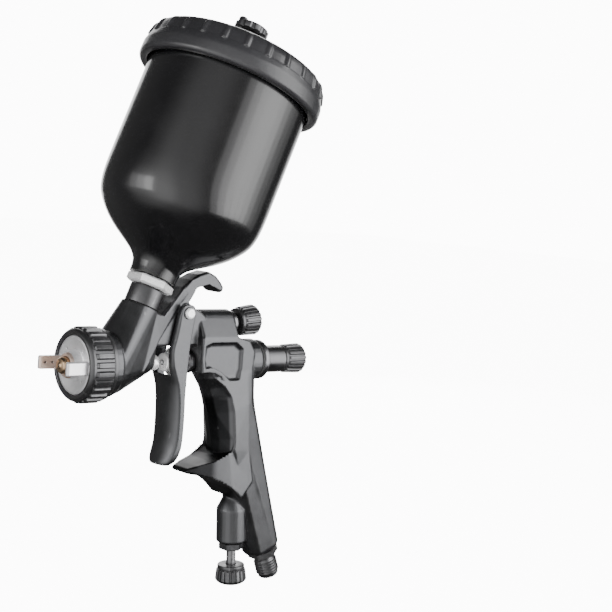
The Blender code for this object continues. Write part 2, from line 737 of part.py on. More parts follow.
def build_air_valve():
    stem_profile = [
        (1.4, 28.0), (4.4, 28.0), (5.0, 28.6), (5.0, 34.0), (7.6, 34.0), (8.0, 34.4),
        (8.0, 35.6), (7.6, 36.0), (STEM_R, 36.0), (STEM_R, 80.0), (1.4, 80.0),
    ]
    stem = revolve("valve_stem", stem_profile, seg=20, closed=True)
    finish_piece(stem, "bright_chrome")
    gland_profile = [
        (STEM_R + GAP, 43.2), (5.6, 43.2), (6.2, 43.8), (6.2, 45.2), (4.3, 45.2), (4.3, 55.0),
        (STEM_R + GAP, 55.0),
    ]
    gland = revolve("valve_gland", gland_profile, seg=24, closed=True)
    finish_piece(gland, "dark_steel")
    plug_profile = [
        (STEM_R + GAP, 58.6), (5.0, 58.6), (6.6, 59.6), (6.6, 62.6), (STEM_R + GAP, 62.6),
    ]
    plug = revolve("valve_plug", plug_profile, seg=28, closed=True)
    finish_piece(plug, "stainless")
    coil("valve_spring", 63.0, 73.9, 5.2, 0.55, 4.0)
    coil("needle_spring", 85.0, 99.6, 3.5, 0.5, 5.0)


# ---------------------------------------------------------------- rear controls


def knob_profile(start, length, front_r, rear_r, bore_r, bore_depth, rib=0.9):
    """Ribbed knob with a plain front band, a blind bore and a bevelled rear face."""
    end = start + length
    base = front_r - 0.1
    return [
        (0.0, start + bore_depth),
        (bore_r, start + bore_depth),
        (bore_r, start),
        (front_r, start),
        (front_r, start + 1.8),
        (base, start + 2.8, rib * 0.9),
        (rear_r - 0.9, end - 1.6, rib),
        (rear_r - 2.4, end),
        (0.0, end),
    ]


def build_fluid_control():
    housing_profile = [
        (2.8, 74.3), (8.7, 74.3), (8.7, 90.6), (10.4, 90.6), (10.9, 91.1),
        (10.9, 93.6), (10.4, 94.1), (7.6, 94.1), (7.6, 108.5), (5.2, 108.5),
        (5.2, 78.5), (2.8, 78.5),
    ]
    housing = revolve("needle_housing", housing_profile, seg=24, closed=True)
    finish_piece(housing, "dark_steel")
    seal = revolve("housing_seal", tube(9.0, 10.7, 89.3, 90.3), seg=28, closed=True)
    finish_piece(seal, "black_rubber")
    stop = revolve("spring_stop", rod(4.8, 100.0, 102.6, 0.4), seg=24)
    finish_piece(stop, "stainless")
    screw = revolve("fluid_screw", rod(4.7, 103.0, 117.0, 0.6), seg=24)
    finish_piece(screw, "stainless")
    profile = knob_profile(109.0, 15.6, 7.4, 8.4, 5.0, 8.4)
    knob = revolve("fluid_knob", profile, seg=36)
    finish_piece(knob, "black_knob")


def build_fan_control():
    housing_profile = [
        (2.8, -8.4), (3.7, -8.4), (3.7, -10.0), (4.2, -10.0), (4.2, 0.3), (5.7, 0.3), (6.3, 0.8),
        (6.3, 2.6), (5.7, 3.1), (4.6, 3.2), (4.6, 4.9), (2.8, 4.9),
    ]
    housing = revolve("fan_housing", housing_profile, FAN_START, FAN_AXIS, 20, closed=True)
    finish_piece(housing, "dark_steel")
    seal = revolve("fan_seal", tube(2.7, 3.4, -9.8, -8.7), FAN_START, FAN_AXIS, 20, closed=True)
    finish_piece(seal, "black_rubber")
    cone_profile = [(0.0, -20.4), (1.2, -20.4), (3.4, -16.6), (3.4, -14.4), (0.0, -14.4)]
    cone = revolve("fan_cone", cone_profile, FAN_START, FAN_AXIS, 20)
    finish_piece(cone, "nozzle_brass")
    spindle = revolve("fan_spindle", rod(2.4, -14.0, 13.6, 0.4), FAN_START, FAN_AXIS, 20)
    finish_piece(spindle, "stainless")
    profile = knob_profile(5.4, 14.0, 7.4, 8.4, 2.7, 8.6)
    knob = revolve("fan_knob", profile, FAN_START, FAN_AXIS, 36)
    finish_piece(knob, "black_knob")


# ---------------------------------------------------------------- handle foot


def build_regulator():
    housing_profile = [
        (2.9, -8.0), (4.6, -8.0), (4.6, 0.3), (6.4, 0.3), (7.0, 0.8), (7.0, 3.8), (6.4, 4.3),
        (2.9, 4.3),
    ]
    housing = revolve("regulator_housing", housing_profile, REG_START, REG_AXIS, 6, closed=True)
    round_part = revolve("thread", tube(2.9, 4.6, -8.0, 1.0), REG_START, REG_AXIS, 24, closed=True)
    trim = revolve("trim", tube(4.55, 9.0, -9.0, 0.35), REG_START, REG_AXIS, 24, closed=True)
    cut(housing, [trim])
    join(housing, [round_part])
    bore = revolve("bore", rod(2.9, -10.0, 8.0), REG_START, REG_AXIS, 24)
    cut(housing, [bore])
    finish_piece(housing, "satin_black_casting")
    disc = revolve("regulator_disc", rod(4.2, -16.4, -13.4, 0.5), REG_START, REG_AXIS, 24)
    finish_piece(disc, "nozzle_brass")
    stem = revolve("regulator_stem", rod(2.6, -13.0, 20.0, 0.4), REG_START, REG_AXIS, 20)
    finish_piece(stem, "dark_steel")
    profile = knob_profile(13.2, 10.6, 7.6, 8.8, 2.9, 7.2)
    knob = revolve("regulator_knob", profile, REG_START, REG_AXIS, 36)
    finish_piece(knob, "black_knob")


def build_inlet():
    """Air nipple: body thread, hexagon, neck and the outside hose thread."""
    thread_r = 6.58
    root_r = 5.75
    pitch = 1.6
    profile = [(3.8, -11.0), (5.7, -11.0), (5.7, 0.3), (5.7, 4.2), (5.4, 4.6), (5.4, 6.6)]
    station = 7.6
    for _ in range(5):
        profile.append((root_r, station))
        profile.append((thread_r, station + pitch * 0.5))
        station += pitch
    profile += [(root_r, station), (root_r, 17.0), (5.2, 17.6), (3.8, 17.6)]
    nipple = revolve("inlet_nipple", profile, INLET_START, INLET_AXIS, 18, closed=True)
    hexagon = revolve("hexagon", [(4.6, 0.3), (8.0, 0.3), (8.7, 0.8), (8.7, 3.8), (8.0, 4.3), (4.6, 4.3)],
                      INLET_START, INLET_AXIS, 6, closed=True)
    join(nipple, [hexagon])
    finish_piece(nipple, "dark_steel")


# ---------------------------------------------------------------- neck, cup and lid


def build_neck():
    sleeve_profile = [
        (4.6, 24.4), (7.0, 24.4), (7.0, 32.3), (SLEEVE_R, 32.3), (SLEEVE_R, SLEEVE_TOP - 0.6),
        (SLEEVE_R - 0.6, SLEEVE_TOP), (SPIGOT_R + GAP, SLEEVE_TOP), (SPIGOT_R + GAP, 33.0),
        (4.6, 33.0),
    ]
    sleeve = revolve("neck_sleeve", sleeve_profile, ZERO, CUP_AXIS, 24, closed=True)
    finish_piece(sleeve, "black_knob")
    nut_profile = [
        (SPIGOT_R + GAP, NUT_BOTTOM), (NUT_CORNER_R - 1.6, NUT_BOTTOM),
        (NUT_CORNER_R, NUT_BOTTOM + 0.9), (NUT_CORNER_R, NUT_TOP - 0.9),
        (NUT_CORNER_R - 1.6, NUT_TOP), (SPIGOT_R + GAP, NUT_TOP),
    ]
    nut = revolve("cup_lock_nut", nut_profile, ZERO, CUP_AXIS, 6, closed=True)
    bore = revolve("bore", rod(SPIGOT_R + GAP, 40.0, 50.0), ZERO, CUP_AXIS, 30)
    cut(nut, [bore])
    finish_piece(nut, "bright_chrome")
    seal = revolve("cup_seal", tube(4.4, 6.1, 33.3, 34.3), ZERO, CUP_AXIS, 24, closed=True)
    finish_piece(seal, "white_seal")


def cup_outer():
    """Outside of the cup: (radius, station) from the collar to the rim."""
    return [
        (12.4, 47.8), (12.6, 51.5), (13.4, 54.5), (15.7, 57.7), (19.0, 60.4),
        (23.0, 63.2), (28.0, 66.6), (33.0, 70.6), (36.6, 74.2), (39.4, 77.6), (41.6, 81.0),
        (43.0, 84.8), (43.9, 89.5), (CUP_R, 97.0), (CUP_R, CUP_RIM),
    ]


def build_cup():
    inside = [
        (CUP_R - CUP_WALL, CUP_RIM), (CUP_R - CUP_WALL, 98.0), (41.2, 88.0), (38.2, 80.2),
        (32.0, 72.6), (20.0, 64.0), (11.0, 58.2), (7.6, 53.0),
        (7.6, 49.5), (4.4, 49.5), (4.4, 34.6),
    ]
    profile = [(SPIGOT_R, 34.6), (SPIGOT_R, 47.8)] + cup_outer() + inside
    cup = revolve("paint_cup", profile, ZERO, CUP_AXIS, 36, closed=True)
    finish_piece(cup, "gloss_black_cup")
    strainer_profile = [
        (0.0, 62.0), (3.0, 62.0), (4.6, 61.0), (6.6, 50.9), (7.2, 50.9), (7.2, 49.8), (4.6, 49.8),
        (5.6, 50.4), (3.9, 60.2), (0.0, 60.8),
    ]
    strainer = revolve("cup_strainer", strainer_profile, ZERO, CUP_AXIS, 16)
    slots = []
    for k in range(4):
        slots.append(revolve("slot", rod(0.7, -9.0, 9.0), CUP_AXIS * (52.8 + 1.9 * k),
                             Y_AXIS if k % 2 else CUP_AXIS.cross(Y_AXIS), 8))
    cut(strainer, slots)
    finish_piece(strainer, "filter_nylon")


def build_lid():
    tick = 0.9
    profile = [
        (45.6, LID_BOTTOM), (LID_R - 0.8, LID_BOTTOM), (LID_R, LID_BOTTOM + 1.2),
        (LID_R, LID_BOTTOM + 8.0), (49.2, LID_BOTTOM + 11.4),
        (49.0, LID_BOTTOM + 11.9, tick), (47.4, LID_TOP - 2.2, tick),
        (45.4, LID_TOP), (28.0, LID_TOP + 3.6),
        (3.6, LID_CROWN), (3.6, LID_CROWN - 3.4),
        (28.0, LID_TOP + 0.6), (40.4, CUP_RIM + 5.0), (40.4, CUP_RIM + 2.2),
        (45.6, CUP_RIM + 2.2),
    ]
    lid = revolve("cup_lid", profile, ZERO, CUP_AXIS, 4 * LID_TICKS, closed=True)
    finish_piece(lid, "black_lid_plastic")
    gasket_profile = tube(42.0, 45.2, CUP_RIM + GAP, CUP_RIM + 1.9)
    gasket = revolve("lid_gasket", gasket_profile, ZERO, CUP_AXIS, 32, closed=True)
    finish_piece(gasket, "white_seal")


def build_vent():
    """Vent plug on the lid crown and the round cover that turns on it."""
    top = LID_CROWN
    plug_profile = [
        (1.2, top - 5.0), (3.3, top - 5.0), (3.3, top + 0.3), (8.4, top - 0.1), (9.0, top + 0.6),
        (8.6, top + 4.4), (8.0, top + 5.0), (6.0, top + 5.2), (6.0, top + 7.2), (2.4, top + 7.2),
        (2.4, top + 12.3), (3.4, top + 12.3), (3.2, top + 13.0), (1.2, top + 13.2),
    ]
    plug = revolve("vent_plug", plug_profile, ZERO, CUP_AXIS, 20, closed=True)
    finish_piece(plug, "black_knob")
    lobe = 0.5
    cover_profile = [
        (2.7, top + 7.5), (8.2, top + 7.5), (8.6, top + 8.1, lobe), (8.6, top + 11.2, lobe),
        (8.0, top + 11.9), (2.7, top + 11.9),
    ]
    cover = revolve("vent_cover", cover_profile, ZERO, CUP_AXIS, 32, closed=True)
    back = CUP_AXIS.cross(Y_AXIS) * -1.0
    tab_centre = CUP_AXIS * top - back * 5.2 + Y_AXIS * 3.0
    tab = revolve("tab", rod(2.4, 10.0, 14.6, 0.7), tab_centre, CUP_AXIS, 8)
    join(cover, [tab])
    finish_piece(cover, "black_knob")


def place_in_frame():
    """Put the origin under the middle of the whole gun, level with its lowest point."""
    bpy.context.view_layer.update()
    points = []
    for obj in bpy.data.objects:
        points += [obj.matrix_world @ vert.co for vert in obj.data.vertices]
    low = min(point.x for point in points)
    high = max(point.x for point in points)
    floor = min(point.z for point in points)
    for obj in bpy.data.objects:
        obj.location -= Vector((0.5 * (low + high), 0.0, floor))


def build_all():
    clear_scene()
    build_body()
    build_air_cap_ring()
    build_air_cap()
    build_spray_internals()
    build_needle()
    build_trigger()
    build_pivot()
    build_air_valve()
    build_fluid_control()
    build_fan_control()
    build_regulator()
    build_inlet()
    build_neck()
    build_cup()
    build_lid()
    build_vent()
    place_in_frame()


build_all()
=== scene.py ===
"""Looks for the gravity-feed spray gun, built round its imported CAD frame.

Lengths are millimetres and are scaled by MM.  The gun's own axes start where the nozzle
axis meets the cup axis: -X along the spray, +Z up, -Y on the gun's left.
"""

import json
import math

import bmesh
import bpy
from mathutils import Matrix, Vector


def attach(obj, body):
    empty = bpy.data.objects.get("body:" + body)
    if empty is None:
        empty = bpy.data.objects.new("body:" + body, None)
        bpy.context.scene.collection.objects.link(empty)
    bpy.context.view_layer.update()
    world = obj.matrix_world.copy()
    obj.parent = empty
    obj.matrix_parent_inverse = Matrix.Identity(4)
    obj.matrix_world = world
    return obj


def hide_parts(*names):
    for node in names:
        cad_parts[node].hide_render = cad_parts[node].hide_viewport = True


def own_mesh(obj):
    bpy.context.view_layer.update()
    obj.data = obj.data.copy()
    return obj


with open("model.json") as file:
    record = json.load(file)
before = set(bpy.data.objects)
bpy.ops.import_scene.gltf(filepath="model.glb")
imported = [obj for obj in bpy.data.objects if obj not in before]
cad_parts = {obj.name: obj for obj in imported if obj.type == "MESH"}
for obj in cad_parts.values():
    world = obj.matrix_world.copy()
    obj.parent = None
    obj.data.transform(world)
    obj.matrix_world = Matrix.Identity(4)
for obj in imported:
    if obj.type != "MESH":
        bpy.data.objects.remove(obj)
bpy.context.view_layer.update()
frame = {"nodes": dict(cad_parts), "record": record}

MM = 0.001
CROSS = Vector((-42.8, 0.0, 126.743))
X_AXIS = Vector((1.0, 0.0, 0.0))
Y_AXIS = Vector((0.0, 1.0, 0.0))
Z_AXIS = Vector((0.0, 0.0, 1.0))
ZERO = Vector((0.0, 0.0, 0.0))
CUP_AXIS = Vector((math.sin(math.radians(22.0)), 0.0, math.cos(math.radians(22.0))))
FAN_START = Vector((70.3, 0.0, 20.6))
FAN_AXIS = Vector((math.cos(math.radians(5.5)), 0.0, math.sin(math.radians(5.5))))
INLET_START = Vector((107.2, 0.0, -108.5))
INLET_AXIS = Vector((math.sin(math.radians(21.8)), 0.0, -math.cos(math.radians(21.8))))
REG_START = Vector((84.3, 0.0, -102.3))
REG_AXIS = Vector((math.sin(math.radians(4.0)), 0.0, -math.cos(math.radians(4.0))))
PIVOT = Vector((35.5, 0.0, 27.1))

RING_RIBS = 26
KNOB_RIBS = 18
LID_RIBS = 26
LID_BOTTOM = 156.0
LID_R = 50.5
LID_TOP = 176.0
LID_CROWN = 183.0
CUP_RIM = 162.5
CUP_R = 44.5
CUP_WALL = 1.8
SLEEVE_END = 42.2
NEEDLE_SHOULDER = 81.2
STEM_BORE_R = 1.45
HORN_HOLE_R = 0.8
HORN_HOLES = (-35.6, -31.6)

CAMERA_RIGHT = Vector((0.7431, -0.6647, 0.0768))
CAMERA_UP = Vector((0.0, 0.1147, 0.9934))
CAMERA_BACK = Vector((-0.6691, -0.7382, 0.0853))
CAMERA_PLACE = Vector((-0.4143, -0.5971, 0.0987)) + CROSS * MM
CAMERA_LENS = 83.3
KEY_POWERS = (1.0, 2.2, 3.2, 3.4, 3.2, 2.6, 1.3, 0.5, 0.25)
WINDOW_POWERS = (0.25, 0.6, 1.2)
BACKDROP_STRENGTH = 12.0
FLOOR_GLOW = 11.2
FLOOR_HEIGHT = -70.0

RECORD = frame["record"]
BODY_OF = {node: body for body, nodes in RECORD["behaviour"]["bodies"].items() for node in nodes}
SLOT_OF = {row["node"]: row["material_slot"] for row in RECORD["subparts"]}


# ---------------------------------------------------------------- materials


class Nodes:
    """Small helper for building a node tree."""

    def __init__(self, tree):
        self.tree = tree

    def add(self, kind, **values):
        node = self.tree.nodes.new(kind)
        for key, value in values.items():
            if key in node.inputs:
                node.inputs[key].default_value = value
            else:
                setattr(node, key, value)
        return node

    def link(self, out, socket):
        self.tree.links.new(out, socket)

    def math(self, operation, a, b=0.0):
        node = self.add("ShaderNodeMath", operation=operation)
        for socket, value in zip(node.inputs, (a, b)):
            if isinstance(value, (int, float)):
                socket.default_value = value
            else:
                self.link(value, socket)
        return node.outputs[0]

    def scaled_noise(self, vector, size_mm, detail=3.0):
        """Noise whose largest features are about size_mm across."""
        node = self.add("ShaderNodeTexNoise", Scale=1.0 / (size_mm * MM), Detail=detail)
        self.link(vector, node.inputs["Vector"])
        return node.outputs["Fac"]

    def ramp(self, value, start, end, low=0.0, high=1.0, smooth=False):
        """Map the range from start to end onto the range from low to high."""
        node = self.add("ShaderNodeMapRange")
        if smooth:
            node.interpolation_type = "SMOOTHSTEP"
        limits = {"From Min": start, "From Max": end, "To Min": low, "To Max": high}
        for key, number in limits.items():
            node.inputs[key].default_value = number
        self.link(value, node.inputs["Value"])
        return node.outputs["Result"]

    def between(self, factor, low, high):
        """Map a noise factor round 0.5 to a range of values."""
        return self.ramp(factor, 0.3, 0.7, low, high)

    def mix(self, factor, first, second):
        """Colour between two colours or sockets."""
        node = self.add("ShaderNodeMix", data_type="RGBA")
        self.link(factor, node.inputs["Factor"])
        for key, value in (("A", first), ("B", second)):
            if isinstance(value, tuple):
                node.inputs[key].default_value = value
            else:
                self.link(value, node.inputs[key])
        return node.outputs["Result"]

    def split(self, vector):
        """Node whose outputs are the X, Y and Z of a vector."""
        node = self.add("ShaderNodeSeparateXYZ")
        self.link(vector, node.inputs[0])
        return node.outputs


def lathe_vector(n, coords):
    """Radius and height about the local Z axis, so that noise becomes lathe marks."""
    place = n.split(coords)
    across = n.math("MULTIPLY", place["X"], place["X"])
    along = n.math("MULTIPLY", place["Y"], place["Y"])
    radius = n.math("SQRT", n.math("ADD", across, along))
    join = n.add("ShaderNodeCombineXYZ")
    n.link(radius, join.inputs["X"])
    n.link(place["Z"], join.inputs["Y"])
    return join.outputs[0]


def finish(name, colour, metallic, rough, grain=(0.4, 0.02), marks=0.0, coat=0.0, wear=0.0,
           bare=(0.45, 0.45, 0.46), tint=None):
    """Procedural surface.

    grain is the size in mm and the height in mm of the fine texture.  marks is the height
    of lathe marks.  wear lightens the convex edges towards the bare colour.
    """
    mat = bpy.data.materials.new(name)
    mat.use_nodes = True
    mat.diffuse_color = (*colour, 1.0)
    n = Nodes(mat.node_tree)
    shader = mat.node_tree.nodes["Principled BSDF"]
    shader.inputs["Metallic"].default_value = metallic
    shader.inputs["Coat Weight"].default_value = coat
    shader.inputs["Coat Roughness"].default_value = 0.10
    coords = n.add("ShaderNodeTexCoord").outputs["Object"]
    fine = n.scaled_noise(coords, grain[0], 4.0)
    smudge = n.scaled_noise(coords, 14.0, 4.0)
    height = n.math("MULTIPLY", fine, grain[1] * MM)
    roughness = n.between(smudge, rough * 0.82, rough * 1.2)
    if marks > 0.0:
        lines = n.scaled_noise(lathe_vector(n, coords), 0.22, 2.0)
        height = n.math("ADD", height, n.math("MULTIPLY", lines, marks * MM))
        roughness = n.math("ADD", roughness, n.math("MULTIPLY", lines, rough * 0.3))
    bump = n.add("ShaderNodeBump", Strength=1.0, Distance=1.0)
    n.link(height, bump.inputs["Height"])
    n.link(bump.outputs[0], shader.inputs["Normal"])
    darker = (*[c * 0.85 for c in colour], 1.0)
    lighter = (*[min(c * 1.12, 1.0) for c in colour], 1.0)
    result = n.mix(n.between(smudge, 0.0, 1.0), darker, lighter)
    if tint is not None:
        result = tint(n, result)
    if wear > 0.0:
        convex = n.add("ShaderNodeNewGeometry").outputs["Pointiness"]
        edge = n.ramp(convex, 0.515, 0.60, 0.0, wear)
        broken = n.between(n.scaled_noise(coords, 1.6, 4.0), 0.2, 1.0)
        result = n.mix(n.math("MULTIPLY", edge, broken), result, (*bare, 1.0))
    n.link(result, shader.inputs["Base Color"])
    n.link(roughness, shader.inputs["Roughness"])
    return mat


def painted_brass_reflection(n, colour):
    """Painted reflection: the raised boss and the inner faces of the horns, which face the brass
    tip, are tinted warm like brass reflected in them.
    """
    coords = n.add("ShaderNodeTexCoord")
    place = n.split(coords.outputs["Object"])
    facing = n.split(coords.outputs["Normal"])
    radius = n.split(lathe_vector(n, coords.outputs["Object"]))["X"]
    outward = n.math("ADD", n.math("MULTIPLY", place["X"], facing["X"]),
                     n.math("MULTIPLY", place["Y"], facing["Y"]))
    inner_face = n.math("LESS_THAN", outward, -4.0 * MM)
    boss = n.math("LESS_THAN", radius, 6.6 * MM)
    ahead = n.math("LESS_THAN", place["Z"], -27.6 * MM)
    mask = n.math("MULTIPLY", n.math("MAXIMUM", inner_face, boss), ahead)
    # Mix the painted brass reflection into the masked faces.
    return n.mix(n.math("MULTIPLY", mask, 0.75), colour, (0.66, 0.47, 0.36, 1.0))


def outside(n, value, start, end):
    """Smooth fall from 1 at start to 0 at end."""
    return n.math("SUBTRACT", 1.0, n.ramp(value, start * MM, end * MM, smooth=True))


def painted_scoop_shade(n, colour):
    """Painted shade: the finger scoop in the front of the handle is darkened towards near-black,
    where shade falls in it.
    """
    place = n.split(n.add("ShaderNodeTexCoord").outputs["Object"])
    middle = outside(n, n.math("ABSOLUTE", place["Y"]), 10.7, 12.0)
    ahead = outside(n, place["X"], 77.0, 80.0)
    above = n.ramp(place["Z"], -84.0 * MM, -78.0 * MM, smooth=True)
    below = outside(n, place["Z"], -21.0, -17.0)
    mask = n.math("MULTIPLY", n.math("MULTIPLY", middle, ahead), n.math("MULTIPLY", above, below))
    # Mix the painted shade colour into the scoop.
    return n.mix(n.math("MULTIPLY", mask, 0.86), colour, (0.012, 0.012, 0.013, 1.0))


MATERIALS = {
    # The casting carries painted shade in the handle's finger scoop.
    "casting": finish("satin_black_casting", (0.102, 0.103, 0.107), 0.95, 0.36, (0.35, 0.006),
                      wear=0.35, bare=(0.30, 0.30, 0.31), tint=painted_scoop_shade),
    "trigger_black": finish("satin_black_trigger", (0.098, 0.099, 0.103), 0.95, 0.33,
                            (0.3, 0.005), wear=0.3, bare=(0.30, 0.30, 0.31)),
    "cup_black": finish("gloss_black_lacquer", (0.004, 0.004, 0.0045), 0.0, 0.22, (1.6, 0.0016),
                        coat=0.55),
    "lid_black": finish("moulded_black_lid", (0.024, 0.024, 0.026), 0.0, 0.34, (0.5, 0.006),
                        coat=0.25, wear=0.5, bare=(0.11, 0.11, 0.115)),
    "knob_black": finish("black_anodised_knob", (0.102, 0.102, 0.105), 0.9, 0.30, (0.3, 0.004),
                         marks=0.004, wear=0.5, bare=(0.34, 0.34, 0.35)),
    # The cap carries a painted brass reflection on its boss and inner horn faces.
    "cap_silver": finish("brushed_nickel_cap", (0.86, 0.86, 0.87), 0.78, 0.30, (0.4, 0.002),
                         marks=0.012, wear=0.3, bare=(0.95, 0.95, 0.96), tint=painted_brass_reflection),
    "bright": finish("polished_chrome", (0.97, 0.97, 0.98), 0.5, 0.26, (0.5, 0.0008)),
    "nozzle_brass": finish("machined_brass", (0.74, 0.52, 0.33), 1.0, 0.24, (0.3, 0.002),
                           marks=0.006, wear=0.3, bare=(0.9, 0.75, 0.55)),
    "dark_steel": finish("dark_steel", (0.17, 0.17, 0.175), 1.0, 0.28, (0.3, 0.003),
                         marks=0.005, wear=0.5, bare=(0.5, 0.5, 0.51)),
    "stainless": finish("machined_stainless", (0.62, 0.63, 0.64), 1.0, 0.2, (0.3, 0.001),
                        marks=0.003),
    "spring_wire": finish("drawn_spring_wire", (0.45, 0.45, 0.47), 1.0, 0.25, (0.2, 0.002)),
    "seal_white": finish("white_seal_plastic", (0.80, 0.79, 0.76), 0.0, 0.45, (0.6, 0.004)),
    "seal_black": finish("matte_black_rubber", (0.022, 0.022, 0.022), 0.0, 0.6, (0.4, 0.01)),
    "filter": finish("white_nylon_filter", (0.74, 0.75, 0.72), 0.0, 0.5, (0.3, 0.008)),
}


# ---------------------------------------------------------------- mesh helpers


def placement(origin, axis):
    """Matrix in metres that puts local Z along the axis at the origin."""
    shift = Matrix.Translation((CROSS + origin) * MM)
    if axis is Z_AXIS:
        return shift
    return shift @ axis.to_track_quat("Z", "Y").to_matrix().to_4x4()


def add_object(name, bm, origin, axis, sharp_deg=40.0):
    """Object from a bmesh in local millimetres."""
    bmesh.ops.remove_doubles(bm, verts=bm.verts, dist=1e-4)
    bmesh.ops.recalc_face_normals(bm, faces=bm.faces)
    bmesh.ops.scale(bm, vec=(MM, MM, MM), verts=bm.verts)
    mesh = bpy.data.meshes.new(name)
    bm.to_mesh(mesh)
    bm.free()
    mesh.polygons.foreach_set("use_smooth", [True] * len(mesh.polygons))
    mesh.set_sharp_from_angle(angle=math.radians(sharp_deg))
    obj = bpy.data.objects.new(name, mesh)
    bpy.context.scene.collection.objects.link(obj)
    obj.matrix_world = placement(origin, axis)
    return obj


def stand_in(obj, node):
    """Finish the piece like its CAD node, ride it on the same body and hide the node."""
    slot = SLOT_OF[node]
    obj.data.materials.clear()
    obj.data.materials.append(MATERIALS[slot])
    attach(obj, BODY_OF[node])
    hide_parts(node)
    return obj


def rounded(profile, radius, steps=3, ring=False):
    """Profile of (radius, station, rib) points with each corner turned into a small arc."""
    points = [Vector((p[0], p[1], p[2] if len(p) > 2 else 0.0)) for p in profile]
    count = len(points)
    result = []
    for i, corner in enumerate(points):
        if not ring and i in (0, count - 1):
            result.append(corner)
            continue
        before = points[i - 1]
        after = points[(i + 1) % count]
        back = (before - corner)
        ahead = (after - corner)
        reach = min(radius, 0.45 * back.length, 0.45 * ahead.length)
        start = corner + back.normalized() * reach
        end = corner + ahead.normalized() * reach
        for k in range(steps + 1):
            t = k / steps
            result.append(start * (1 - t) ** 2 + corner * (2 * t * (1 - t)) + end * t ** 2)
    return result


def smooth_line(points, per_span=6):
    """Catmull-Rom curve through tuples of numbers."""
    rows = [Vector(p) for p in points]
    rows = [rows[0] * 2 - rows[1]] + rows + [rows[-1] * 2 - rows[-2]]
    result = []
    for i in range(1, len(rows) - 2):
        a, b, c, d = rows[i - 1:i + 3]
        for k in range(per_span):
            t = k / per_span
            result.append(0.5 * (b * 2 + (c - a) * t + (a * 2 - b * 5 + c * 4 - d) * t ** 2
                                 + (b * 3 - a - c * 3 + d) * t ** 3))
    result.append(rows[-2])
    return result


def flat_ribs(count, width):
    """Rib height round the circle: flat-topped ribs that fill the given share of the pitch."""
    def height(angle):
        phase = (angle * count / (2.0 * math.pi)) % 1.0
        edge = (width * 0.5 - abs(phase - 0.5)) / 0.11 + 0.5
        edge = min(max(edge, 0.0), 1.0)
        return edge * edge * (3.0 - 2.0 * edge)
    return height


def turned(name, profile, origin=ZERO, axis=X_AXIS, seg=96, ring=False, ribs=None, sharp=40.0):
    """Turn a profile of (radius, station, rib) points about the axis."""
    bm = bmesh.new()
    rings = []
    for point in profile:
        radius, station = point[0], point[1]
        rib = point[2] if len(point) > 2 else 0.0
        if radius < 1e-5:
            rings.append([bm.verts.new((0.0, 0.0, station))])
            continue
        row = []
        for k in range(seg):
            angle = 2.0 * math.pi * k / seg
            reach = radius + (rib * ribs(angle) if ribs else 0.0)
            row.append(bm.verts.new((reach * math.cos(angle), reach * math.sin(angle), station)))
        rings.append(row)
    pairs = list(zip(rings, rings[1:]))
    if ring:
        pairs.append((rings[-1], rings[0]))
    for low, high in pairs:
        for k in range(seg):
            n = (k + 1) % seg
            if len(low) == 1:
                bm.faces.new((low[0], high[k], high[n]))
            elif len(high) == 1:
                bm.faces.new((low[k], low[n], high[0]))
            else:
                bm.faces.new((low[k], low[n], high[n], high[k]))
    return add_object(name, bm, origin, axis, sharp)


def merged(name, parts, operation="UNION"):
    """First part with the others joined or cut by exact booleans."""
    base = parts[0]
    for other in parts[1:]:
        step = base.modifiers.new("join", "BOOLEAN")
        step.operation = operation
        step.solver = "EXACT"
        step.object = other
        bpy.context.view_layer.update()
        graph = bpy.context.evaluated_depsgraph_get()
        mesh = bpy.data.meshes.new_from_object(base.evaluated_get(graph))
        base.modifiers.clear()
        base.data = mesh
        bpy.data.objects.remove(other, do_unlink=True)
    base.name = name
    return base


def soften(obj, voxel, passes, keep):
    """Round every edge as a casting is: voxel remesh, smooth, then thin out the mesh."""
    remesh = obj.modifiers.new("remesh", "REMESH")
    remesh.mode = "VOXEL"
    remesh.voxel_size = voxel * MM
    smooth = obj.modifiers.new("smooth", "SMOOTH")
    smooth.factor = 0.5
    smooth.iterations = passes
    thin = obj.modifiers.new("thin", "DECIMATE")
    thin.ratio = keep
    bpy.context.view_layer.update()
    graph = bpy.context.evaluated_depsgraph_get()
    mesh = bpy.data.meshes.new_from_object(obj.evaluated_get(graph))
    obj.modifiers.clear()
    obj.data = mesh
    mesh.polygons.foreach_set("use_smooth", [True] * len(mesh.polygons))
    return obj


def cad_copy(name, node, origin=ZERO, axis=Z_AXIS):
    """Editable copy of a CAD node's mesh, with its local Z along the given axis."""
    bm = bmesh.new()
    bm.from_mesh(frame["nodes"][node].data)
    bmesh.ops.remove_doubles(bm, verts=bm.verts, dist=1e-6)
    place = placement(origin, axis)
    bmesh.ops.transform(bm, matrix=place.inverted(), verts=bm.verts)
    mesh = bpy.data.meshes.new(name)
    bm.to_mesh(mesh)
    bm.free()
    obj = bpy.data.objects.new(name, mesh)
    bpy.context.scene.collection.objects.link(obj)
    obj.matrix_world = place
    return obj


# ---------------------------------------------------------------- head, body and trigger


def build_casting():
    """Cast body with its edges and fillets rounded."""
    body = soften(cad_copy("gun_casting", "gun_body"), 0.36, 12, 0.4)
    stand_in(body, "gun_body")


def build_air_cap_ring():
    """Ribbed retaining ring with a plain rounded rim in front."""
    rib = 1.25
    profile = [
        (15.6, -27.5), (17.1, -27.5), (18.5, -26.1), (18.3, -24.6), (18.3, -24.0, rib),
        (18.3, -14.6, rib), (18.3, -14.0), (18.5, -13.5), (18.5, -11.6), (16.2, -11.6),
        (16.2, -25.5), (15.2, -25.5), (15.2, -27.0),
    ]
    ring = turned("ribbed_ring", rounded(profile, 0.35, 2, True), seg=RING_RIBS * 14, ring=True,
                  ribs=flat_ribs(RING_RIBS, 0.6))
    stand_in(ring, "air_cap_ring")


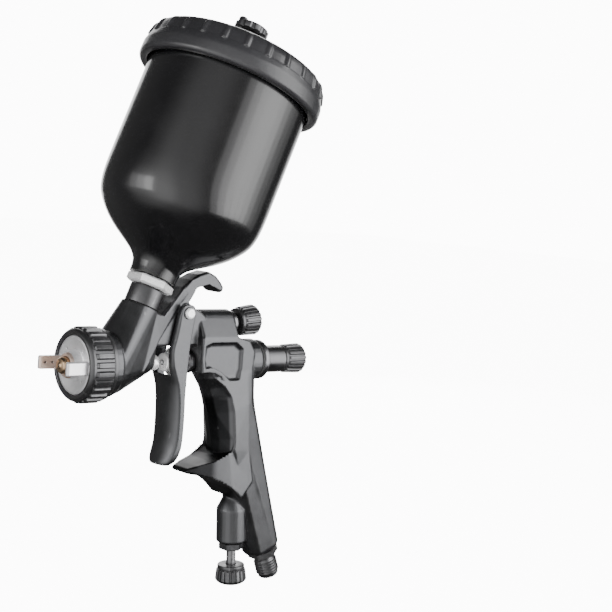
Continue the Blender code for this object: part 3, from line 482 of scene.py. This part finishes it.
def build_air_cap():
    """Silver cap with two horns, each drilled with two air holes on its inner face."""
    cap = soften(cad_copy("spray_cap", "air_cap", ZERO, X_AXIS), 0.16, 3, 0.4)
    drill = [(0.0, 0.0), (HORN_HOLE_R, 0.0), (HORN_HOLE_R, 4.2), (0.0, 4.2)]
    drills = []
    for side in (1.0, -1.0):
        inward = Vector((-1.2, -side * 4.0, 0.0)).normalized()
        for station in HORN_HOLES:
            start = Vector((station, side * 12.9, 0.0))
            drills.append(turned("drill", drill, start, inward, 20))
    stand_in(merged("spray_cap", [cap] + drills, "DIFFERENCE"), "air_cap")


def build_nozzle():
    """Brass fluid tip with its flange and tail."""
    profile = [
        (0.7, -35.4), (1.3, -35.4), (1.7, -34.9), (3.5, -34.6), (4.2, -33.7), (4.2, -23.8),
        (6.4, -22.6), (7.0, -21.8), (7.0, -19.4), (6.6, -19.0), (4.0, -19.0), (4.0, -9.0),
        (3.5, -8.4), (1.7, -8.4), (1.5, -31.2), (0.7, -34.4),
    ]
    stand_in(turned("brass_tip", rounded(profile, 0.12, 2, True), ring=True), "fluid_nozzle")


def trigger_section(row):
    """Closed C-shaped loop from (height, rear edge, front corner, front centre, half width)."""
    z, rear, corner, front, half = row
    wall = 1.8
    outer = [Vector((rear, -half, z))]
    inner = [Vector((rear, -half + wall, z))]
    for k in range(25):
        angle = math.pi * k / 24.0
        bulge = (front - corner) * math.sin(angle)
        outer.append(Vector((corner + bulge, -half * math.cos(angle), z)))
        inner.append(Vector((corner + 1.6 + bulge, -(half - wall) * math.cos(angle), z)))
    outer.append(Vector((rear, half, z)))
    inner.append(Vector((rear, half - wall, z)))
    return outer + list(reversed(inner))


def box(name, low, high):
    """Plain cutter between two corners, in gun millimetres."""
    bm = bmesh.new()
    middle = (Vector(low) + Vector(high)) * 0.5
    size = Vector(high) - Vector(low)
    bmesh.ops.create_cube(bm, size=1.0)
    bmesh.ops.scale(bm, vec=size, verts=bm.verts)
    bmesh.ops.translate(bm, vec=middle, verts=bm.verts)
    return add_object(name, bm, ZERO, Z_AXIS)


def build_trigger():
    """Trigger blade open to the rear, with a slot for the needle and a pivot hole."""
    sections = [
        (31.4, 37.6, 33.6, 33.0, 11.0), (30.2, 39.2, 31.9, 31.0, 11.0),
        (27.0, 39.9, 31.2, 29.5, 11.0), (21.0, 39.2, 30.6, 28.0, 11.0),
        (14.0, 38.2, 29.4, 26.5, 11.0), (7.0, 37.5, 27.8, 25.0, 11.0),
        (0.0, 37.2, 28.6, 25.6, 11.0), (-5.3, 37.0, 30.5, 27.0, 11.0),
        (-12.0, 36.9, 33.0, 29.2, 11.0), (-20.0, 36.9, 34.3, 30.4, 11.0),
        (-32.0, 37.2, 34.8, 30.9, 11.0), (-43.0, 36.9, 34.4, 30.4, 10.7),
        (-49.0, 35.5, 32.7, 28.8, 10.1), (-52.6, 33.6, 31.2, 27.6, 8.8),
        (-54.4, 31.9, 30.2, 27.4, 6.6),
    ]
    loops = [trigger_section(row) for row in smooth_line(sections, 5)]
    bm = bmesh.new()
    rows = [[bm.verts.new(p) for p in loop] for loop in loops]
    count = len(rows[0])
    for low, high in zip(rows, rows[1:]):
        for k in range(count):
            n = (k + 1) % count
            bm.faces.new((low[k], low[n], high[n], high[k]))
    bm.faces.new(rows[0])
    bm.faces.new(list(reversed(rows[-1])))
    blade = add_object("trigger_blade", bm, ZERO, Z_AXIS)
    slot = box("slot", (18.0, -8.0, -6.0), (38.0, 8.0, 34.0))
    bore = [(0.0, -15.0), (2.7, -15.0), (2.7, 15.0), (0.0, 15.0)]
    hole = turned("hole", bore, PIVOT, Y_AXIS, 40)
    blade = merged("trigger_blade", [blade, slot, hole], "DIFFERENCE")
    stand_in(soften(blade, 0.3, 5, 0.4), "trigger")


def build_pivot():
    """Bright hinge pin with its round head on the gun's left."""
    pin = [
        (0.0, -12.9), (2.2, -12.9), (3.0, -12.3), (3.0, -11.3), (2.5, -11.3), (2.5, 11.2),
        (1.6, 11.2), (1.6, 4.0), (0.0, 4.0),
    ]
    stand_in(turned("hinge_pin", rounded(pin, 0.3), PIVOT, Y_AXIS, 48), "pivot_pin")


# ---------------------------------------------------------------- needle, valve and controls


def build_needle_parts():
    """Gland nut, needle, air valve stem and the two springs."""
    nut = [
        (1.4, 13.3), (3.2, 13.3), (3.2, 19.9), (3.6, 20.1), (4.1, 20.6), (4.1, 23.2),
        (3.6, 23.8), (1.4, 23.8),
    ]
    stand_in(turned("gland_nut", rounded(nut, 0.25, 3, True), seg=64, ring=True), "packing_nut")
    needle = [
        (0.0, -35.2), (0.3, -35.2), (1.1, -31.8), (1.1, NEEDLE_SHOULDER),
        (1.4, NEEDLE_SHOULDER), (1.4, 91.0), (1.0, 91.6), (0.0, 91.6),
    ]
    stand_in(turned("paint_needle", rounded(needle, 0.15), seg=48), "fluid_needle")
    stem = [
        (STEM_BORE_R, 28.0), (4.4, 28.0), (5.0, 28.6), (5.0, 34.0), (7.6, 34.0), (8.0, 34.4),
        (8.0, 35.6), (7.6, 36.0), (2.5, 36.0), (2.5, 80.0), (STEM_BORE_R, 80.0),
    ]
    stand_in(turned("valve_rod", rounded(stem, 0.25, 3, True), seg=64, ring=True), "valve_stem")
    build_spring("valve_coil", "valve_spring", 63.0, 73.9, 5.2, 0.5, 4.5)
    build_spring("needle_coil", "needle_spring", 85.0, 99.6, 3.5, 0.45, 6.0)


def build_spring(name, node, start, end, mean_r, wire_r, turns):
    """Round-wire coil whose front end is pushed back by the valve or the needle."""
    per_turn = 28
    sides = 10
    steps = int(turns * per_turn)
    bm = bmesh.new()
    rows = []
    for k in range(steps + 1):
        share = k / steps
        angle = 2.0 * math.pi * k / per_turn
        outward = Vector((math.cos(angle), math.sin(angle), 0.0))
        level = min(max((share - 0.12) / 0.76, 0.0), 1.0)
        height = start + wire_r + (end - start - 2.0 * wire_r) * (0.04 * share + 0.96 * level)
        middle = outward * mean_r + Vector((0.0, 0.0, height))
        row = []
        for s in range(sides):
            tip = 2.0 * math.pi * s / sides
            row.append(bm.verts.new(middle + outward * (wire_r * math.cos(tip))
                                    + Vector((0.0, 0.0, wire_r * math.sin(tip)))))
        rows.append(row)
    for low, high in zip(rows, rows[1:]):
        for s in range(sides):
            n = (s + 1) % sides
            bm.faces.new((low[s], low[n], high[n], high[s]))
    bm.faces.new(rows[0])
    bm.faces.new(list(reversed(rows[-1])))
    spring = stand_in(add_object(name, bm, ZERO, X_AXIS, 60.0), node)
    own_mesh(spring)


def knob(name, node, start, length, front_r, rear_r, bore_r, depth, origin, axis):
    """Ribbed knob with a plain front band, a bevelled rear edge and a dished rear face."""
    end = start + length
    rib = 0.95
    profile = [
        (0.0, start + depth), (bore_r, start + depth), (bore_r, start), (front_r - 0.3, start),
        (front_r, start + 0.4), (front_r, start + 1.9), (front_r - 0.35, start + 2.3),
        (front_r - 0.3, start + 2.7, rib * 0.9), (rear_r - 0.9, end - 2.2, rib),
        (rear_r - 1.6, end - 0.8, rib * 0.5), (rear_r - 2.6, end), (4.4, end), (3.9, end - 0.5),
        (0.0, end - 0.5),
    ]
    piece = turned(name, rounded(profile, 0.35, 3), origin, axis, KNOB_RIBS * 14, False,
                   flat_ribs(KNOB_RIBS, 0.6))
    stand_in(piece, node)


def build_controls():
    """Rear housing, fan gland and the three ribbed knobs."""
    housing = [
        (2.8, 74.3), (8.7, 74.3), (8.7, 90.6), (10.4, 90.6), (10.9, 91.1), (10.9, 93.6),
        (10.4, 94.1), (7.6, 94.1), (7.6, 108.5), (5.2, 108.5), (5.2, 78.5), (2.8, 78.5),
    ]
    stand_in(turned("rear_housing", rounded(housing, 0.3, 3, True), ring=True), "needle_housing")
    knob("fluid_knob_ribbed", "fluid_knob", 109.0, 15.6, 7.4, 8.4, 5.0, 8.4, ZERO, X_AXIS)
    gland = [
        (2.8, -8.4), (3.7, -8.4), (3.7, -10.0), (4.2, -10.0), (4.2, 0.3), (5.7, 0.3), (6.3, 0.8),
        (6.3, 2.6), (5.7, 3.1), (4.6, 3.2), (4.6, 4.9), (2.8, 4.9),
    ]
    stand_in(turned("fan_gland", rounded(gland, 0.2, 2, True), FAN_START, FAN_AXIS, 64, True),
             "fan_housing")
    knob("fan_knob_ribbed", "fan_knob", 5.4, 14.0, 7.4, 8.4, 2.7, 8.6, FAN_START, FAN_AXIS)
    knob("regulator_knob_ribbed", "regulator_knob", 13.2, 10.6, 7.6, 8.8, 2.9, 7.2, REG_START,
         REG_AXIS)


def build_inlet():
    """Hose nipple with five thread ridges and its hexagon."""
    pitch = 1.6
    crest = 6.58
    root = 5.75
    profile = [(3.8, -11.0), (5.7, -11.0), (5.7, 4.2), (5.4, 4.6), (5.4, 6.6), (root, 6.9)]
    station = 7.3
    for _ in range(5):
        profile += [(root, station), (crest, station + 0.65), (crest, station + 0.85)]
        station += pitch
    profile += [(root, station), (root, 17.0), (5.2, 17.6), (3.8, 17.6)]
    nipple = turned("nipple", rounded(profile, 0.15, 2, True), INLET_START, INLET_AXIS, 72, True)
    flats = [(4.6, 0.3), (8.0, 0.3), (8.7, 0.8), (8.7, 3.8), (8.0, 4.3), (4.6, 4.3)]
    hexagon = turned("hexagon", flats, INLET_START, INLET_AXIS, 6, True, None, 20.0)
    stand_in(merged("hose_nipple", [nipple, hexagon]), "inlet_nipple")


# ---------------------------------------------------------------- neck, cup, lid and vent


def build_neck():
    """Sleeve on the neck boss and the hexagonal lock nut above it."""
    sleeve = [
        (4.6, 24.4), (7.0, 24.4), (7.0, 32.3), (9.2, 32.3), (9.2, SLEEVE_END - 0.6),
        (8.6, SLEEVE_END), (6.5, SLEEVE_END), (6.5, 33.0), (4.6, 33.0),
    ]
    stand_in(turned("neck_collar", rounded(sleeve, 0.3, 3, True), ZERO, CUP_AXIS, 72, True),
             "neck_sleeve")
    profile = [
        (6.5, 42.5), (11.0, 42.5), (12.6, 43.4), (12.6, 46.6), (11.0, 47.5), (6.5, 47.5),
    ]
    nut = turned("neck_nut", rounded(profile, 0.2, 2, True), ZERO, CUP_AXIS, 6, True, None, 20.0)
    bore = turned("bore", [(0.0, 40.0), (6.5, 40.0), (6.5, 50.0), (0.0, 50.0)], ZERO, CUP_AXIS, 60)
    stand_in(merged("neck_nut", [nut, bore], "DIFFERENCE"), "cup_lock_nut")


def build_cup():
    """Cup shell with its tail, smooth shoulder and open rim."""
    outer = [
        (12.4, 47.8), (12.6, 51.5), (13.4, 54.5), (15.7, 57.7), (19.0, 60.4), (23.0, 63.2),
        (28.0, 66.6), (33.0, 70.6), (36.6, 74.2), (39.4, 77.6), (41.6, 81.0), (43.0, 84.8),
        (43.9, 89.5), (44.4, 97.0), (CUP_R, 112.0), (CUP_R, CUP_RIM),
    ]
    inner_r = CUP_R - CUP_WALL
    inside = [
        (inner_r, CUP_RIM), (inner_r, 98.0), (41.2, 88.0), (38.2, 80.2), (32.0, 72.6),
        (20.0, 64.0), (11.0, 58.2), (7.6, 53.0), (7.6, 49.5), (4.4, 49.5), (4.4, 34.6),
    ]
    curve = [tuple(p) for p in smooth_line([(r, z, 0.0) for r, z in outer], 5)]
    profile = [(6.2, 34.6), (6.2, 47.8)] + curve + inside
    stand_in(turned("cup_shell", profile, ZERO, CUP_AXIS, 144, True), "paint_cup")


def build_lid():
    """Screw lid: plain lower band, narrow grip ticks above it and a shallow dome."""
    rib = 0.95
    bottom = LID_BOTTOM
    profile = [
        (45.6, bottom), (49.4, bottom), (LID_R, bottom + 1.6), (LID_R, bottom + 7.4),
        (49.5, bottom + 10.6), (49.2, bottom + 11.2, rib), (48.0, bottom + 16.0, rib),
        (46.9, bottom + 18.2, rib * 0.9), (45.6, LID_TOP - 0.6), (43.0, LID_TOP + 0.6),
        (28.0, LID_TOP + 3.6), (3.6, LID_CROWN), (3.6, LID_CROWN - 3.4), (28.0, LID_TOP + 0.6),
        (40.4, CUP_RIM + 5.0), (40.4, CUP_RIM + 2.2), (45.6, CUP_RIM + 2.2),
    ]
    lid = turned("cup_lid_ribbed", rounded(profile, 1.0, 4, True), ZERO, CUP_AXIS, LID_RIBS * 20,
                 True, flat_ribs(LID_RIBS, 0.2))
    stand_in(lid, "cup_lid")


def build_vent():
    """Vent base on the lid and the lobed cover that swings on it."""
    top = LID_CROWN
    plug = [
        (1.2, top - 5.0), (3.3, top - 5.0), (3.3, top + 0.3), (8.4, top - 0.1), (9.0, top + 0.6),
        (8.6, top + 4.4), (8.0, top + 5.0), (6.0, top + 5.2), (6.0, top + 7.2), (2.4, top + 7.2),
        (2.4, top + 12.3), (3.4, top + 12.3), (3.2, top + 13.0), (1.2, top + 13.2),
    ]
    base = turned("vent_base", rounded(plug, 0.3, 3, True), ZERO, CUP_AXIS, 72, True)
    stand_in(base, "vent_plug")
    bulge = 0.7
    cover = [
        (2.7, top + 7.5), (8.2, top + 7.5), (8.6, top + 8.1, bulge), (8.6, top + 11.2, bulge),
        (8.0, top + 11.9), (2.7, top + 11.9),
    ]
    disc = turned("vent_disc", rounded(cover, 0.3, 3, True), ZERO, CUP_AXIS, 120, True,
                  flat_ribs(10, 0.62))
    back = Y_AXIS.cross(CUP_AXIS)
    centre = CUP_AXIS * top - back * 5.2 + Y_AXIS * 3.0
    tab_profile = [(0.0, 10.0), (2.4, 10.0), (2.4, 13.9), (1.7, 14.6), (0.0, 14.6)]
    tab = turned("tab", rounded(tab_profile, 0.2), centre, CUP_AXIS, 32)
    stand_in(merged("vent_disc", [disc, tab]), "vent_cover")


# ---------------------------------------------------------------- stage


def softbox(name, place, target, width, height, power, colour=(1.0, 1.0, 1.0)):
    """Rectangular studio light aimed at a point; lengths in metres."""
    light = bpy.data.lights.new(name, "AREA")
    light.shape = "RECTANGLE"
    light.size = width
    light.size_y = height
    light.energy = power
    light.color = colour
    obj = bpy.data.objects.new(name, light)
    bpy.context.scene.collection.objects.link(obj)
    obj.location = place
    obj.rotation_mode = "QUATERNION"
    obj.rotation_quaternion = (Vector(place) - Vector(target)).to_track_quat("Z", "Y")
    return obj


def build_camera():
    """Camera at the angle and distance the gun is shown from."""
    data = bpy.data.cameras.new("studio_camera")
    data.sensor_width = 36.0
    data.lens = CAMERA_LENS
    data.clip_start = 0.01
    camera = bpy.data.objects.new("studio_camera", data)
    bpy.context.scene.collection.objects.link(camera)
    turn = Matrix((CAMERA_RIGHT, CAMERA_UP, CAMERA_BACK)).transposed().to_4x4()
    camera.matrix_world = Matrix.Translation(CAMERA_PLACE) @ turn
    bpy.context.scene.camera = camera


def round_the_gun(degrees, distance, height):
    """Point at an angle to the right of the camera's direction, seen from the gun."""
    angle = math.radians(degrees)
    back = Vector((CAMERA_BACK.x, CAMERA_BACK.y, 0.0)).normalized()
    right = Vector((CAMERA_RIGHT.x, CAMERA_RIGHT.y, 0.0)).normalized()
    spot = (back * math.cos(angle) + right * math.sin(angle)) * distance
    return Vector((spot.x, spot.y, height))


def lobe(n, direction, degrees, wide, narrow, strength):
    """Soft patch of light round a compass direction; wide and narrow are cosines."""
    toward = round_the_gun(degrees, 1.0, 0.0)
    spot = n.math("ADD", n.math("MULTIPLY", direction["X"], toward.x),
                  n.math("MULTIPLY", direction["Y"], toward.y))
    return n.ramp(spot, wide, narrow, 0.0, strength, smooth=True)


def build_world():
    """White backdrop for the camera and a dim, graded studio for reflections."""
    world = bpy.data.worlds.new("studio")
    bpy.context.scene.world = world
    world.use_nodes = True
    n = Nodes(world.node_tree)
    world.node_tree.nodes.clear()
    direction = n.split(n.add("ShaderNodeTexCoord").outputs["Generated"])
    level = n.ramp(direction["Z"], -0.7, 0.9, 0.08, 0.05, smooth=True)
    patches = (
        (180.0, 0.86, 0.98, 2.2), (-10.0, 0.55, 1.0, 1.3), (-44.0, 0.70, 0.95, 1.2),
        (-95.0, 0.55, 0.95, 0.15),
    )
    for patch in patches:
        level = n.math("ADD", level, lobe(n, direction, *patch))
    studio = n.add("ShaderNodeBackground")
    n.link(level, studio.inputs["Strength"])
    backdrop = n.add("ShaderNodeBackground", Strength=BACKDROP_STRENGTH)
    backdrop.inputs["Color"].default_value = (1.0, 1.0, 1.0, 1.0)
    pick = n.add("ShaderNodeMixShader")
    n.link(n.add("ShaderNodeLightPath").outputs["Is Camera Ray"], pick.inputs["Fac"])
    n.link(studio.outputs[0], pick.inputs[1])
    n.link(backdrop.outputs[0], pick.inputs[2])
    n.link(pick.outputs[0], n.add("ShaderNodeOutputWorld").inputs["Surface"])


def build_floor():
    """Pale paper floor that fades into the white backdrop."""
    bm = bmesh.new()
    bmesh.ops.create_grid(bm, x_segments=8, y_segments=8, size=6.0 / MM)
    floor = add_object("pale_floor", bm, Vector((0.0, 0.0, FLOOR_HEIGHT)) - CROSS, Z_AXIS)
    paper = finish("pale_floor_paper", (0.90, 0.90, 0.90), 0.0, 0.8, (1.2, 0.01))
    shader = paper.node_tree.nodes["Principled BSDF"]
    n = Nodes(paper.node_tree)
    shader.inputs["Emission Color"].default_value = (1.0, 1.0, 1.0, 1.0)
    seen = n.add("ShaderNodeLightPath").outputs["Is Camera Ray"]
    n.link(n.math("MULTIPLY", seen, FLOOR_GLOW), shader.inputs["Emission Strength"])
    floor.data.materials.append(paper)
    floor.visible_glossy = False


def graded_softbox(name, start, end, powers, height, tall):
    """Wide softbox made of upright strips whose power changes step by step."""
    middle = (0.02, 0.0, 0.16)
    step = (end - start) / len(powers)
    width = 2.0 * math.tan(math.radians(abs(step)) * 0.5)
    for k, power in enumerate(powers):
        place = round_the_gun(start + step * (k + 0.5), 1.0, height)
        softbox(f"{name}_{k}", place, middle, width, tall, power)


def build_lights():
    """Graded key on the right, small window on the left and fills behind and in front."""
    graded_softbox("key", 38.0, 128.0, KEY_POWERS, 0.30, 1.15)
    graded_softbox("window", -76.0, -40.0, WINDOW_POWERS, 0.36, 0.44)
    softbox("back_fill", round_the_gun(190.0, 1.3, 0.5), (0.02, 0.0, 0.16), 1.2, 1.0, 8.0)
    fill = softbox("front_fill", round_the_gun(5.0, 1.0, 0.4), (0.0, 0.0, 0.16), 0.8, 0.8, 10.0)
    fill.visible_glossy = False


def main():
    """Build every piece, dress the CAD nodes that stay visible and set the stage."""
    build_casting()
    build_air_cap_ring()
    build_air_cap()
    build_nozzle()
    build_trigger()
    build_pivot()
    build_needle_parts()
    build_controls()
    build_inlet()
    build_neck()
    build_cup()
    build_lid()
    build_vent()
    for node, obj in frame["nodes"].items():
        obj.data.materials.clear()
        obj.data.materials.append(MATERIALS[SLOT_OF[node]])
    build_floor()
    build_world()
    build_lights()
    build_camera()


main()
